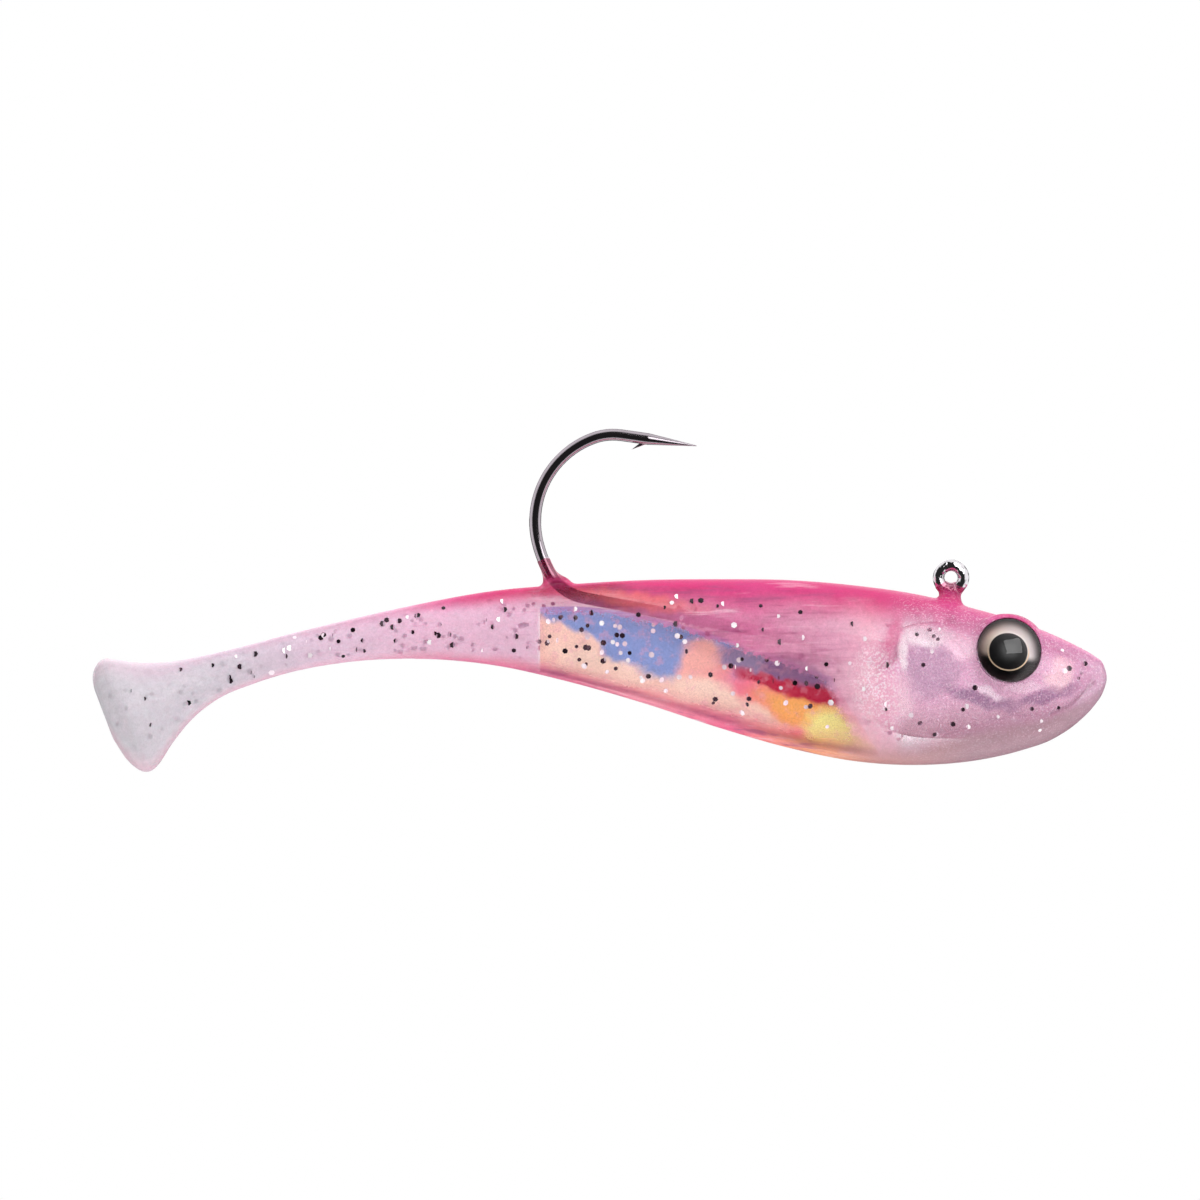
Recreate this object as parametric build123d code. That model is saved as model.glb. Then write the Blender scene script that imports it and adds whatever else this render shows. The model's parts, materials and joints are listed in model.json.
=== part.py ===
from build123d import *
import math
import os

# Pre-rigged soft swimbait, 4 inch class, in millimetres.
# Frame: +X points to the nose, +Z up, +Y to the bait's left. The origin is the centre of the line-tie ring.
# A lead head is cast on a one-piece jig hook. A folded foil lies under the shank, and the soft body is moulded
# round all three. The soft body is one flexible casting. It is made here as a torso, which the hook keeps
# straight, and four lengths of tail that turn about upright hinge lines.

# ---- Driving dimensions --------------------------------------------------------------------------
WIRE_D = 1.2                    # hook wire
RING_MEAN_R = 1.22              # line-tie ring, to the middle of its wire
RING_LAND = 0.4                 # width of the flat land inside the ring
RING_SLIT_W, RING_SLIT_TURN = 0.1, 66  # where the wire's end closes the ring, in degrees round from the nose
LEG_X = -0.1                    # upright leg of the hook, below the ring
JIG_CORNER = (-0.1, -8.95)      # (x, z) where the leg and the shank would meet in a sharp corner
JIG_BEND_R = 1.9
SHANK_ANGLE = 10.7              # degrees that the shank climbs towards the tail
SHANK_L = 37.25                 # corner to the start of the bend
BEND_ARCS = [(5.0, 118), (13.0, 104), (8.85, 20), (5.8, -8.1)]  # radius, and the wire's direction at its end
SPEAR_L = 7.6
POINT_L = 4.9                   # tapered part of the spear
POINT_TIP_R = 0.04
BARB_ROOT, BARB_HEEL = 0.1, -0.75  # from the start of the taper towards the tip, along the spear
BARB_TIP = (-1.5, 1.3)          # from the start of the taper: along the spear, and inwards
BARB_TIP_SIDE, BARB_HEEL_SIDE = 0.36, 0.42  # how far in the barb's ends start, in wire diameters
BARB_HALF_T = 0.22

SEAT_GAP = 0.2                  # clearance between two lengths of tail
EYE_X, EYE_Z = 5.6, -7.5        # middle of an eye's seat, seen from the side
EYE_OUT = 3.95                  # how far out the eye's seat lies from the mid-plane
EYE_FORWARD, EYE_UP = 12.0, 13.0  # degrees that an eye faces forward and up
EYE_R = 3.3
EYE_PAD_T, EYE_DISC_T, LENS_SKIRT_T, LENS_DOME_H = 0.5, 0.15, 0.45, 1.35
SEAT_DEPTH = 1.5                # how far the lead boss and the soft rim reach in from an eye's seat
SOCKET_RIM_R, SOCKET_LIP_R, SOCKET_LIP_H = 4.05, 3.5, 1.2
SOCKET_LIP_BACK = 0.12          # the lip is this much wider behind the eye than ahead of it
PAD_INSET, BOSS_INSET = 0.25, 0.4  # the pad and the lead boss are this much smaller in radius than the eye
# Soft plastic drawn up the wire: radius at the foot, height, and where the foot lies.
HOOK_NECK_R, HOOK_NECK_H, HOOK_NECK_DROP = 1.75, 2.0, 2.6
RING_NECK_R, RING_NECK_TOP_R, RING_NECK_H, RING_NECK_Z = 2.1, 1.15, 2.1, -3.6
NECK_FILM = 0.15                # thickness of the plastic at the top of the hook's neck
BEYOND = 60                     # longer than any piece, for the shapes that cut

# Outline of the soft body, nose to tail. Each row: top point (x, z), bottom point (x, z), half-width, and
# squareness, which is 2 for an oval section and more for one with fuller shoulders.
STATIONS = [
    ((15.60, -9.70), (15.60, -10.35), 0.28, 2.0),
    ((15.25, -8.65), (15.25, -11.40), 1.15, 2.0),
    ((14.50, -7.95), (14.50, -12.60), 2.10, 2.1),
    ((12.90, -7.00), (12.90, -14.30), 3.35, 2.2),
    ((10.40, -5.80), (10.40, -16.05), 4.65, 2.3),
    ((7.00, -4.45), (7.00, -17.30), 5.60, 2.4),
    ((2.50, -3.15), (2.50, -18.30), 6.20, 2.35),
    ((-3.00, -1.75), (-3.00, -18.75), 6.40, 2.2),
    ((-9.00, -0.85), (-9.00, -18.45), 6.15, 2.1),
    ((-16.00, -0.25), (-16.00, -17.10), 5.55, 2.0),
    ((-23.00, -0.15), (-23.00, -15.10), 4.80, 2.0),
    ((-31.00, -0.25), (-31.00, -12.50), 4.00, 2.0),
    ((-38.00, -0.65), (-38.00, -10.50), 3.35, 2.0),
    ((-46.00, -1.35), (-46.00, -8.75), 2.70, 2.0),
    ((-53.00, -2.60), (-53.00, -8.15), 2.15, 2.0),
    ((-60.00, -4.15), (-60.00, -8.45), 1.75, 2.0),
    ((-66.00, -5.60), (-66.00, -9.50), 1.55, 2.0),
    ((-70.50, -6.80), (-70.00, -10.75), 1.55, 2.0),
    ((-74.50, -7.75), (-73.20, -12.10), 1.95, 2.0),
    ((-78.00, -8.40), (-75.90, -14.20), 2.85, 2.0),
    ((-81.20, -8.50), (-78.00, -16.80), 3.85, 2.0),
    ((-83.60, -8.20), (-79.40, -18.90), 4.65, 2.0),
    ((-84.75, -8.10), (-80.20, -19.45), 4.85, 2.0),
    ((-85.45, -8.70), (-81.10, -19.30), 4.50, 2.0),
    ((-85.85, -9.90), (-82.50, -18.10), 3.40, 2.0),
    ((-85.70, -11.10), (-83.80, -16.10), 1.60, 2.0),
]
BACK_FULLNESS = 0.06            # share by which a section is wider above its middle than below
SECTION_POINTS = 16

# Hinge lines of the tail, nose to tail: x, and the radius of the rounded seat about that line.
HINGES = {
    "tail_root": (-45.2, 3.05),
    "tail_middle": (-53.6, 2.35),
    "tail_stem": (-62.0, 1.85),
    "paddle": (-70.2, 1.80),
}

# The lead head, seen from the side. The upper edge and the lower edge each run from the gill to the nose.
LEAD_TOP = [(-5.4, -5.2), (-2.0, -4.4), (2.0, -4.7), (7.8, -6.2), (12.6, -8.1), (14.3, -9.2)]
LEAD_BOTTOM = [(-8.5, -13.0), (-6.0, -15.3), (0.0, -16.1), (6.0, -15.9), (10.6, -14.0), (14.3, -9.8)]
GILL_NOTCH = (-5.4, -8.4)       # foot of the upright rear edge of the gill cover
GILL_LOBE = (-8.6, -11.2)       # rearmost point of the lobe under it
LEAD_SHARE = (0.74, 0.95)       # lead width and height as shares of the soft body's
LEAD_ROWS = 12                  # rows of the outline that the lead spans
COLLAR_START = 6.0              # the keeper collar starts this far behind the hook's corner, inside the lead
COLLAR_L, COLLAR_R, COLLAR_RIB_R = 8.0, 1.3, 1.7
COLLAR_RIBS, COLLAR_RIB_L = (4.2, 6.2), 1.2  # where the ribs start along the collar, and their length

# The foil, seen from the side. It is a trough, folded under the shank.
FOIL_TOP = [(-41.1, -3.0), (-35.0, -3.1), (-28.5, -4.35), (-22.0, -6.3), (-12.0, -9.9)]
FOIL_FRONT_FOOT = (-6.4, -18.9)
FOIL_ROWS = (6, 16)             # rows of the outline that the foil spans
FOIL_OUTER, FOIL_INNER = (0.62, 0.93), (0.60, 0.908)  # outer and inner face as shares of the soft body's

def polar(angle, length=1.0):
    """(x, z) of a length at an angle in degrees from +X towards +Z."""
    return length * math.cos(math.radians(angle)), length * math.sin(math.radians(angle))


def side(x, z):
    """Point in the mid-plane."""
    return Vector(x, 0, z)


# ---- Soft body -----------------------------------------------------------------------------------
def fuller(share, squareness):
    """A sine or cosine, moved outwards to make an oval into a squarer section."""
    return math.copysign(abs(share) ** (2 / squareness), share)


def section(top, bottom, half_width, squareness, width_share=1.0, height_share=1.0):
    """Closed outline of the body across its length, between a top and a bottom point."""
    middle = (side(*top) + side(*bottom)) * 0.5
    up = (side(*top) - side(*bottom)) * (0.5 * height_share)
    points = []
    for k in range(SECTION_POINTS):
        turn = 2 * math.pi * k / SECTION_POINTS
        rise = fuller(math.sin(turn), squareness)
        out = half_width * width_share * fuller(math.cos(turn), squareness) * (1 + BACK_FULLNESS * rise)
        points.append(middle + up * rise + Vector(0, out, 0))
    return Face(Wire(Spline(*points, periodic=True)))


def body_loft(width_share=1.0, height_share=1.0, first=0, last=len(STATIONS)):
    """The soft body's outer shape, or a slimmer copy of it."""
    return Solid.make_loft(
        [section(*row, width_share, height_share).outer_wire() for row in STATIONS[first:last]]
    )


def upright_cylinder(x, radius):
    """Tall cylinder about a hinge line."""
    return Pos(x, 0, 0) * Cylinder(radius, BEYOND)


def slab(x_low, x_high):
    """Everything between two planes across the bait."""
    return Pos((x_low + x_high) / 2, 0, 0) * Box(x_high - x_low, BEYOND, BEYOND)


def tail_length(whole, front_hinge, rear_hinge):
    """A length of tail: a rounded front end on its own hinge, and a hollow rear end for the next one."""
    x_front, r_front = HINGES[front_hinge]
    x_rear = HINGES[rear_hinge][0] if rear_hinge else x_front - BEYOND
    kept = slab(x_rear, x_front) + upright_cylinder(x_front, r_front)
    if rear_hinge:
        kept -= upright_cylinder(x_rear, HINGES[rear_hinge][1] + SEAT_GAP)
    return whole & kept


# ---- Jig hook ------------------------------------------------------------------------------------
def bend_arcs():
    """The bend as tangent arcs, each (start, middle, end), and the wire's direction where the last one ends."""
    heading = 180 - SHANK_ANGLE
    at = Vector(*JIG_CORNER) + Vector(*polar(heading, SHANK_L))
    arcs = []
    for radius, end_heading in BEND_ARCS:
        middle = at + Vector(*polar(heading - 90, radius))
        points = [middle + Vector(*polar(turn + 90, radius)) for turn in (heading, (heading + end_heading) / 2)]
        at = middle + Vector(*polar(end_heading + 90, radius))
        arcs.append([side(p.X, p.Y) for p in (*points, at)])
        heading = end_heading
    return arcs, heading


def wire_ring():
    """Line-tie ring, turned about Y, with a short cylindrical land inside."""
    wire_r = WIRE_D / 2
    hole_r = RING_MEAN_R - math.sqrt(wire_r**2 - (RING_LAND / 2) ** 2)
    profile = Plane.XY * (Pos(RING_MEAN_R, 0) * Circle(wire_r))
    profile &= Plane.XY * (Pos(hole_r + WIRE_D, 0) * Rectangle(2 * WIRE_D, 2 * WIRE_D))
    ring = revolve(profile, Axis.Y, 360)
    closing_slit = Pos(RING_MEAN_R, 0, 0) * Box(1.1 * WIRE_D, 2 * WIRE_D, RING_SLIT_W)
    return ring - Rot(0, RING_SLIT_TURN, 0) * closing_slit


def jig_hook():
    """Ring, leg, shank, bend and barbed point, in one wire."""
    wire_r = WIRE_D / 2
    arcs, heading = bend_arcs()
    leg_and_shank = FilletPolyline(
        side(LEG_X, -RING_MEAN_R), side(*JIG_CORNER), arcs[0][0], radius=JIG_BEND_R
    )
    taper_start = arcs[-1][2] + side(*polar(heading, SPEAR_L - POINT_L))
    spear = Line(arcs[-1][2], taper_start)
    bend = [edge for points in arcs for edge in ThreePointArc(*points).edges()]
    path = Wire(leg_and_shank.edges() + bend + spear.edges())
    wire = sweep(Plane(origin=path @ 0, z_dir=path % 0) * Circle(wire_r), path)
    along = side(*polar(heading))
    point = Plane(origin=taper_start, z_dir=along) * Cone(
        wire_r, POINT_TIP_R, POINT_L, align=(Align.CENTER, Align.CENTER, Align.MIN)
    )
    return wire + point + wire_ring() + barb(taper_start, heading)


def barb(taper_start, heading):
    """Sliver raised from the inside of the point, aiming back at the bend."""
    along, inwards = side(*polar(heading)), side(*polar(heading - 90))
    root = taper_start + along * BARB_ROOT
    heel = taper_start + along * BARB_HEEL
    tip = taper_start + along * BARB_TIP[0] + inwards * BARB_TIP[1]
    outline = Polyline(
        root,
        root + inwards * (BARB_TIP_SIDE * WIRE_D),
        tip,
        heel + inwards * (BARB_HEEL_SIDE * WIRE_D),
        heel,
        close=True,
    )
    return extrude(make_face(outline), amount=BARB_HALF_T, both=True, dir=(0, 1, 0))


# ---- Lead head -----------------------------------------------------------------------------------
def lead_head(hook, eyes):
    top = Spline(*[side(*p) for p in LEAD_TOP])
    nose = Line(side(*LEAD_TOP[-1]), side(*LEAD_BOTTOM[-1]))
    bottom = Spline(*[side(*p) for p in LEAD_BOTTOM])
    gill = Line(side(*LEAD_TOP[0]), side(*GILL_NOTCH))
    lobe = Spline(side(*GILL_NOTCH), side(*GILL_LOBE), side(*LEAD_BOTTOM[0]))
    outline = make_face([top, nose, bottom, gill, lobe])
    core = body_loft(*LEAD_SHARE, last=LEAD_ROWS)
    head = core & extrude(outline, amount=BEYOND, both=True, dir=(0, 1, 0))
    return head + seat_boss(1) + seat_boss(-1) + keeper_collar() - eyes - hook


def keeper_collar():
    """Ribbed collar of lead along the shank, which keeps the soft body from sliding back."""
    back = side(*polar(180 - SHANK_ANGLE))
    start = side(*JIG_CORNER) + back * COLLAR_START
    plane = Plane(origin=start, z_dir=back)
    align = (Align.CENTER, Align.CENTER, Align.MIN)
    collar = plane * Cylinder(COLLAR_R, COLLAR_L, align=align)
    for step in COLLAR_RIBS:
        collar += plane * (Pos(0, 0, step) * Cone(COLLAR_R, COLLAR_RIB_R, COLLAR_RIB_L, align=align))
    return collar


# ---- Foil ----------------------------------------------------------------------------------------
def foil_insert():
    first, last = FOIL_ROWS
    trough = body_loft(*FOIL_OUTER, first=first, last=last) - body_loft(*FOIL_INNER, first=first, last=last)
    top = Spline(*[side(*p) for p in FOIL_TOP])
    rear_foot = (FOIL_TOP[0][0], FOIL_FRONT_FOOT[1])
    edges = Polyline(side(*FOIL_TOP[-1]), side(*FOIL_FRONT_FOOT), side(*rear_foot), side(*FOIL_TOP[0]))
    outline = make_face(top.edges() + edges.edges())
    return trough & extrude(outline, amount=BEYOND, both=True, dir=(0, 1, 0))


# ---- Eyes ----------------------------------------------------------------------------------------
def eye_plane(hand):
    """Seat of an eye, with its normal out of the head. hand is +1 for the bait's left and -1 for its right."""
    forward, up = math.radians(EYE_FORWARD), math.radians(EYE_UP)
    out = Vector(math.sin(forward), hand * math.cos(forward) * math.cos(up), math.sin(up))
    along = Vector(math.cos(forward), -hand * math.sin(forward), 0)
    return Plane(origin=Vector(EYE_X, hand * EYE_OUT, EYE_Z), x_dir=along, z_dir=out)


def eye_pieces(hand):
    """Adhesive pad, printed disc and domed lens, stacked outwards from the seat."""
    base = (Align.CENTER, Align.CENTER, Align.MIN)
    plane = eye_plane(hand)
    pad = Cylinder(EYE_R - PAD_INSET, EYE_PAD_T, align=base)
    disc = Pos(0, 0, EYE_PAD_T) * Cylinder(EYE_R, EYE_DISC_T, align=base)
    skirt_z = EYE_PAD_T + EYE_DISC_T
    dome_z = skirt_z + LENS_SKIRT_T
    ball_r = (EYE_R**2 + LENS_DOME_H**2) / (2 * LENS_DOME_H)
    ball = Pos(0, 0, dome_z + LENS_DOME_H - ball_r) * Sphere(ball_r)
    dome = ball & (Pos(0, 0, dome_z) * Cylinder(EYE_R + 1, 2 * LENS_DOME_H, align=base))
    lens = dome + Pos(0, 0, skirt_z) * Cylinder(EYE_R, LENS_SKIRT_T, align=base)
    return {"pad": plane * pad, "disc": plane * disc, "lens": plane * lens}


def eye_hole(hand):
    """Space that an eye fills in the soft body and the lead head."""
    base = (Align.CENTER, Align.CENTER, Align.MIN)
    pad_well = Cylinder(EYE_R - PAD_INSET, EYE_PAD_T, align=base)
    well = Pos(0, 0, EYE_PAD_T) * Cylinder(EYE_R, BEYOND, align=base)
    return eye_plane(hand) * (pad_well + well)


def socket_lip(hand):
    """Raised rim of soft plastic round an eye."""
    base = (Align.CENTER, Align.CENTER, Align.MIN)
    cone = Cone(SOCKET_RIM_R, SOCKET_LIP_R, SEAT_DEPTH + SOCKET_LIP_H, align=base)
    return eye_plane(hand) * (Pos(-SOCKET_LIP_BACK, 0, -SEAT_DEPTH) * cone)


def seat_boss(hand):
    """Round boss of the lead head, behind an eye."""
    disc = Cylinder(EYE_R - BOSS_INSET, SEAT_DEPTH, align=(Align.CENTER, Align.CENTER, Align.MAX))
    return eye_plane(hand) * disc


# ---- Torso ---------------------------------------------------------------------------------------
def hook_neck():
    """Soft plastic that climbs the wire where the hook leaves the back."""
    arcs, _ = bend_arcs()
    leaves, along = arcs[0][2], side(*polar(BEND_ARCS[0][1]))
    top_r = WIRE_D / 2 + NECK_FILM
    cone = Cone(HOOK_NECK_R, top_r, HOOK_NECK_H, align=(Align.CENTER, Align.CENTER, Align.MIN))
    return Plane(origin=leaves - along * HOOK_NECK_DROP, z_dir=along) * cone


def ring_neck():
    """Soft plastic that climbs the leg to the foot of the line-tie ring."""
    align = (Align.CENTER, Align.CENTER, Align.MIN)
    return Pos(LEG_X, 0, RING_NECK_Z) * Cone(RING_NECK_R, RING_NECK_TOP_R, RING_NECK_H, align=align)


def torso(whole, hook, lead, foil, eyes):
    x_rear, r_rear = HINGES["tail_root"]
    outer = whole & slab(x_rear, x_rear + 2 * BEYOND)
    outer -= upright_cylinder(x_rear, r_rear + SEAT_GAP)
    for hand in (1, -1):
        outer += socket_lip(hand)
    outer += hook_neck()
    outer += ring_neck()
    return outer - eyes - hook - lead - foil


# ---- Assembly ------------------------------------------------------------------------------------
def build():
    whole = body_loft()
    hook = jig_hook()
    eyes = eye_hole(1) + eye_hole(-1)
    lead = lead_head(hook, eyes)
    foil = foil_insert()
    parts = {
        "jig_hook": hook,
        "lead_head": lead,
        "foil_insert": foil,
        "soft_torso": torso(whole, hook, lead, foil, eyes),
        "tail_root": tail_length(whole, "tail_root", "tail_middle"),
        "tail_middle": tail_length(whole, "tail_middle", "tail_stem"),
        "tail_stem": tail_length(whole, "tail_stem", "paddle"),
        "tail_paddle": tail_length(whole, "paddle", None),
    }
    for hand, name in ((1, "left"), (-1, "right")):
        for piece, shape in eye_pieces(hand).items():
            parts[f"{name}_eye_{piece}"] = shape
    return parts


if __name__ == "__main__":
    os.makedirs("parts", exist_ok=True)
    for name, shape in build().items():
        print(f"{name}: {len(shape.solids())} solid(s), {shape.volume:.2f} mm3")
        export_step(shape, f"parts/{name}.step")
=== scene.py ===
import json
import math
import random
from types import SimpleNamespace

import bmesh
import bpy
import numpy as np
from mathutils import Matrix, Vector


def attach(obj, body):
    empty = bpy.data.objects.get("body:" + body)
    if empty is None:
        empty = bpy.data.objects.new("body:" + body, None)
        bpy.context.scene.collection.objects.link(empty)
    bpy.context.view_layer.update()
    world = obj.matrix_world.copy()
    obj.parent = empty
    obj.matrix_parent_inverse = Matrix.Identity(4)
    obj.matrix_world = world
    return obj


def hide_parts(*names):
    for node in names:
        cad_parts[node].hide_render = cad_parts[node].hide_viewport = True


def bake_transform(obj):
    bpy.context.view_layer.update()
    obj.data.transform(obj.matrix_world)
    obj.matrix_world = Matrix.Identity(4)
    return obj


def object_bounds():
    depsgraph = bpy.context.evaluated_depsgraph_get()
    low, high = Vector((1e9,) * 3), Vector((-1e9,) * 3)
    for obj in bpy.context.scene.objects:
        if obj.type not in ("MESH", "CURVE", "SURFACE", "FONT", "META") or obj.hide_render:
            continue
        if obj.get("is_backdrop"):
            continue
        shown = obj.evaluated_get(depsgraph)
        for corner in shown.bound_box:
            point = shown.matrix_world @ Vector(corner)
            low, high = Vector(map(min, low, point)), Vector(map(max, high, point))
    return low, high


# Looks of a soft swimbait. Shapes are worked out in millimetres in the row frame, and become metres
# in add_object. +X points to the nose, +Z is up, and the origin is the centre of the line-tie ring.

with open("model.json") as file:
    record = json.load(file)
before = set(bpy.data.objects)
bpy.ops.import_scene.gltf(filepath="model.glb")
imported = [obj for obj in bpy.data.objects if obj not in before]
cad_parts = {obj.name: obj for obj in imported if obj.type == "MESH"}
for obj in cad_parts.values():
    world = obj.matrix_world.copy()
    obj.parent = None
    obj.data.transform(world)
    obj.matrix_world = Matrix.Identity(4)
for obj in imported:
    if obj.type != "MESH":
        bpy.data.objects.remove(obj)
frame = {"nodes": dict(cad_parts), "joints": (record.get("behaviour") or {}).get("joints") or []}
cad_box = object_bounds()
MM = 0.001

# ---- Dimensions ----
# The soft body's outline, as in the part: top point (x, z), bottom point (x, z), half-width
# and squareness.
STATIONS = [
    ((15.6, -9.7), (15.6, -10.35), 0.28, 2.0),
    ((15.25, -8.65), (15.25, -11.4), 1.15, 2.0),
    ((14.5, -7.95), (14.5, -12.6), 2.1, 2.1),
    ((12.9, -7.0), (12.9, -14.3), 3.35, 2.2),
    ((10.4, -5.8), (10.4, -16.05), 4.65, 2.3),
    ((7.0, -4.45), (7.0, -17.3), 5.6, 2.4),
    ((2.5, -3.15), (2.5, -18.3), 6.2, 2.35),
    ((-3.0, -1.75), (-3.0, -18.75), 6.4, 2.2),
    ((-9.0, -0.85), (-9.0, -18.45), 6.15, 2.1),
    ((-16.0, -0.25), (-16.0, -17.1), 5.55, 2.0),
    ((-23.0, -0.15), (-23.0, -15.1), 4.8, 2.0),
    ((-31.0, -0.25), (-31.0, -12.5), 4.0, 2.0),
    ((-38.0, -0.65), (-38.0, -10.5), 3.35, 2.0),
    ((-46.0, -1.35), (-46.0, -8.75), 2.7, 2.0),
    ((-53.0, -2.6), (-53.0, -8.15), 2.15, 2.0),
    ((-60.0, -4.15), (-60.0, -8.45), 1.75, 2.0),
    ((-66.0, -5.6), (-66.0, -9.5), 1.55, 2.0),
    ((-70.5, -6.8), (-70.0, -10.75), 1.55, 2.0),
    ((-74.5, -7.75), (-73.2, -12.1), 1.95, 2.0),
    ((-78.0, -8.4), (-75.9, -14.2), 2.85, 2.0),
    ((-81.2, -8.5), (-78.0, -16.8), 3.85, 2.0),
    ((-83.6, -8.2), (-79.4, -18.9), 4.65, 2.0),
    ((-84.75, -8.1), (-80.2, -19.45), 4.85, 2.0),
    ((-85.45, -8.7), (-81.1, -19.3), 4.5, 2.0),
    ((-85.85, -9.9), (-82.5, -18.1), 3.4, 2.0),
    ((-85.7, -11.1), (-83.8, -16.1), 1.6, 2.0),
]
BACK_FULLNESS = 0.06
RING_STEPS = 72                 # points round a section
ROW_STEP = 0.5                  # distance along the body between sections
SKIN_VOXEL = 0.22
SKIN_SMOOTHING = 7

WIRE_R = 0.6
RING_MEAN_R = 1.22
LEG_X = -0.1
JIG_CORNER = (-0.1, -8.95)
SHANK_ANGLE, SHANK_L = 10.7, 37.25
BEND_ARCS = [(5.0, 118), (13.0, 104), (8.85, 20), (5.8, -8.1)]  # radius, end heading in degrees
FILM_R = WIRE_R + 0.09          # soft plastic that has crept up the hook
FILM_TOP_Z, FILM_FOOT_Z = 2.05, -2.4
FILM_FRONT_X = -35.0            # the film is on the wire behind this

# Upper edge of the foil, and the foot of its front edge, seen from the side.
FOIL_TOP = [(-41.1, -3.0), (-35.0, -3.1), (-28.5, -4.35), (-22.0, -6.3), (-12.0, -9.9)]
FOIL_FRONT_FOOT = (-6.4, -18.9)

# Plastic round the ring and the hook, which melts into the skin: paths of (x, z), and radii.
SADDLE_TURNS, SADDLE_R = (203, 322), 0.70
NECK_Z = (-4.4, -3.4, -2.7, -2.2, -1.7, -1.3)
NECK_R = (3.0, 1.9, 1.32, 1.12, 1.08, 0.9)
HOOK_FOOT = [
    (-39.5, -2.6), (-39.6, -1.1), (-39.7, -0.6), (-39.9, -0.2), (-40.1, 0.2), (-40.35, 0.7),
]
HOOK_FOOT_R = (2.8, 2.1, 1.55, 1.05, 0.8, 0.68)

# Lines pressed into the skin and the lead, seen from the side, with their depth and half width.
MOUTH = [(14.3, -10.5), (13.1, -11.6), (11.8, -12.8), (10.0, -13.6)]
MOUTH_DEPTH, MOUTH_W, MOUTH_SHADE_W = 0.2, 0.18, 0.16
GILL = [(-3.6, -5.6), (0.2, -6.0), (1.6, -8.4), (0.4, -11.0), (-3.2, -12.6)]
GILL_DEPTH, GILL_W = 0.22, 0.35
LEAD_VOXEL, LEAD_SMOOTHING = 0.28, 8

EYE_SEAT = (5.6, 3.95, -7.5)
EYE_FORWARD, EYE_UP = 12.0, 13.0  # degrees that an eye looks off straight sideways
EYE_R = 3.3
PAD_T, DISC_T, SKIRT_T, DOME_H = 0.5, 0.15, 0.45, 1.35
WELL_GAP, WELL_TOP = 0.02, 5.0  # the well cut in the skin for an eye
# The raised rim of skin round an eye: (radius, height above the seat), and its shift.
EYE_RIM = [
    (0.01, -1.6), (3.98, -1.6), (3.96, 0.2), (3.86, 0.75), (3.66, 1.12), (3.4, 1.2), (0.01, 1.2),
]
EYE_RIM_SHIFT = (-0.14, -0.02, 0)

# ---- Small helpers ----
def polar(angle, length=1.0):
    """(x, z) of a length at an angle in degrees from +X towards +Z."""
    return np.array([math.cos(math.radians(angle)), math.sin(math.radians(angle))]) * length


def srgb(r, g, b, alpha=1.0):
    """Linear colour of an 8-bit screen colour."""
    parts = [c / 255 for c in (r, g, b)]
    linear = [p / 12.92 if p <= 0.04 else ((p + 0.055) / 1.055) ** 2.4 for p in parts]
    return (*linear, alpha)


def mesh_of(points, faces):
    mesh = bpy.data.meshes.new("mesh")
    mesh.from_pydata([tuple(map(float, p)) for p in points], [], faces)
    mesh.validate()
    return mesh


def in_scene(name, data):
    obj = bpy.data.objects.new(name, data)
    bpy.context.scene.collection.objects.link(obj)
    return obj


def add_object(name, mesh, scale=MM):
    """A new object from a mesh in millimetres."""
    mesh.transform(Matrix.Scale(scale, 4))
    mesh.name = name
    return in_scene(name, mesh)


def shade_smooth(mesh):
    mesh.polygons.foreach_set("use_smooth", [True] * len(mesh.polygons))
    mesh.update()


def rings_to_mesh(rings):
    """Closed skin through rings of points, each with the same number of points, with flat ends."""
    n = len(rings[0])
    points = [p for ring in rings for p in ring]
    faces = [tuple(range(n))[::-1]]
    for i in range(len(rings) - 1):
        for k in range(n):
            a, b = i * n + k, i * n + (k + 1) % n
            faces.append((a, b, b + n, a + n))
    last = (len(rings) - 1) * n
    faces.append(tuple(range(last, last + n)))
    return points, faces


def tube(path, radii, steps=20):
    """Rings along a path of (x, z) points in the mid-plane."""
    path = np.array(path, float)
    rings = []
    for i, at in enumerate(path):
        along = path[min(i + 1, len(path) - 1)] - path[max(i - 1, 0)]
        along = along / np.linalg.norm(along)
        across = np.array([-along[1], along[0]])
        ring = []
        for k in range(steps):
            turn = 2 * math.pi * k / steps
            x, z = at + across * radii[i] * math.cos(turn)
            ring.append((x, radii[i] * math.sin(turn), z))
        rings.append(ring)
    return rings


def revolve(profile, steps=64):
    """Rings of a profile of (radius, height) points, turned about local Z."""
    turns = [2 * math.pi * k / steps for k in range(steps)]
    return [[(r * math.cos(t), r * math.sin(t), h) for t in turns] for r, h in profile]


def join_meshes(meshes):
    """One mesh from several, each a (points, faces) pair."""
    points, faces = [], []
    for some_points, some_faces in meshes:
        start = len(points)
        points += list(some_points)
        faces += [tuple(i + start for i in f) for f in some_faces]
    return points, faces


def through_modifiers(mesh, *settings):
    """A copy of a mesh with modifiers applied. Each setting is (type, {property: value})."""
    obj = in_scene("work", mesh)
    for kind, values in settings:
        modifier = obj.modifiers.new(kind.lower(), kind)
        for key, value in values.items():
            setattr(modifier, key, value)
    bpy.context.view_layer.update()
    evaluated = obj.evaluated_get(bpy.context.evaluated_depsgraph_get())
    result = bpy.data.meshes.new_from_object(evaluated)
    bpy.data.objects.remove(obj)
    return result


def vertex_array(mesh):
    co = np.empty(len(mesh.vertices) * 3, np.float32)
    mesh.vertices.foreach_get("co", co)
    return co.reshape(-1, 3).astype(float)


def normal_array(mesh):
    no = np.empty(len(mesh.vertices) * 3, np.float32)
    mesh.vertex_normals.foreach_get("vector", no)
    return no.reshape(-1, 3).astype(float)


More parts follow.
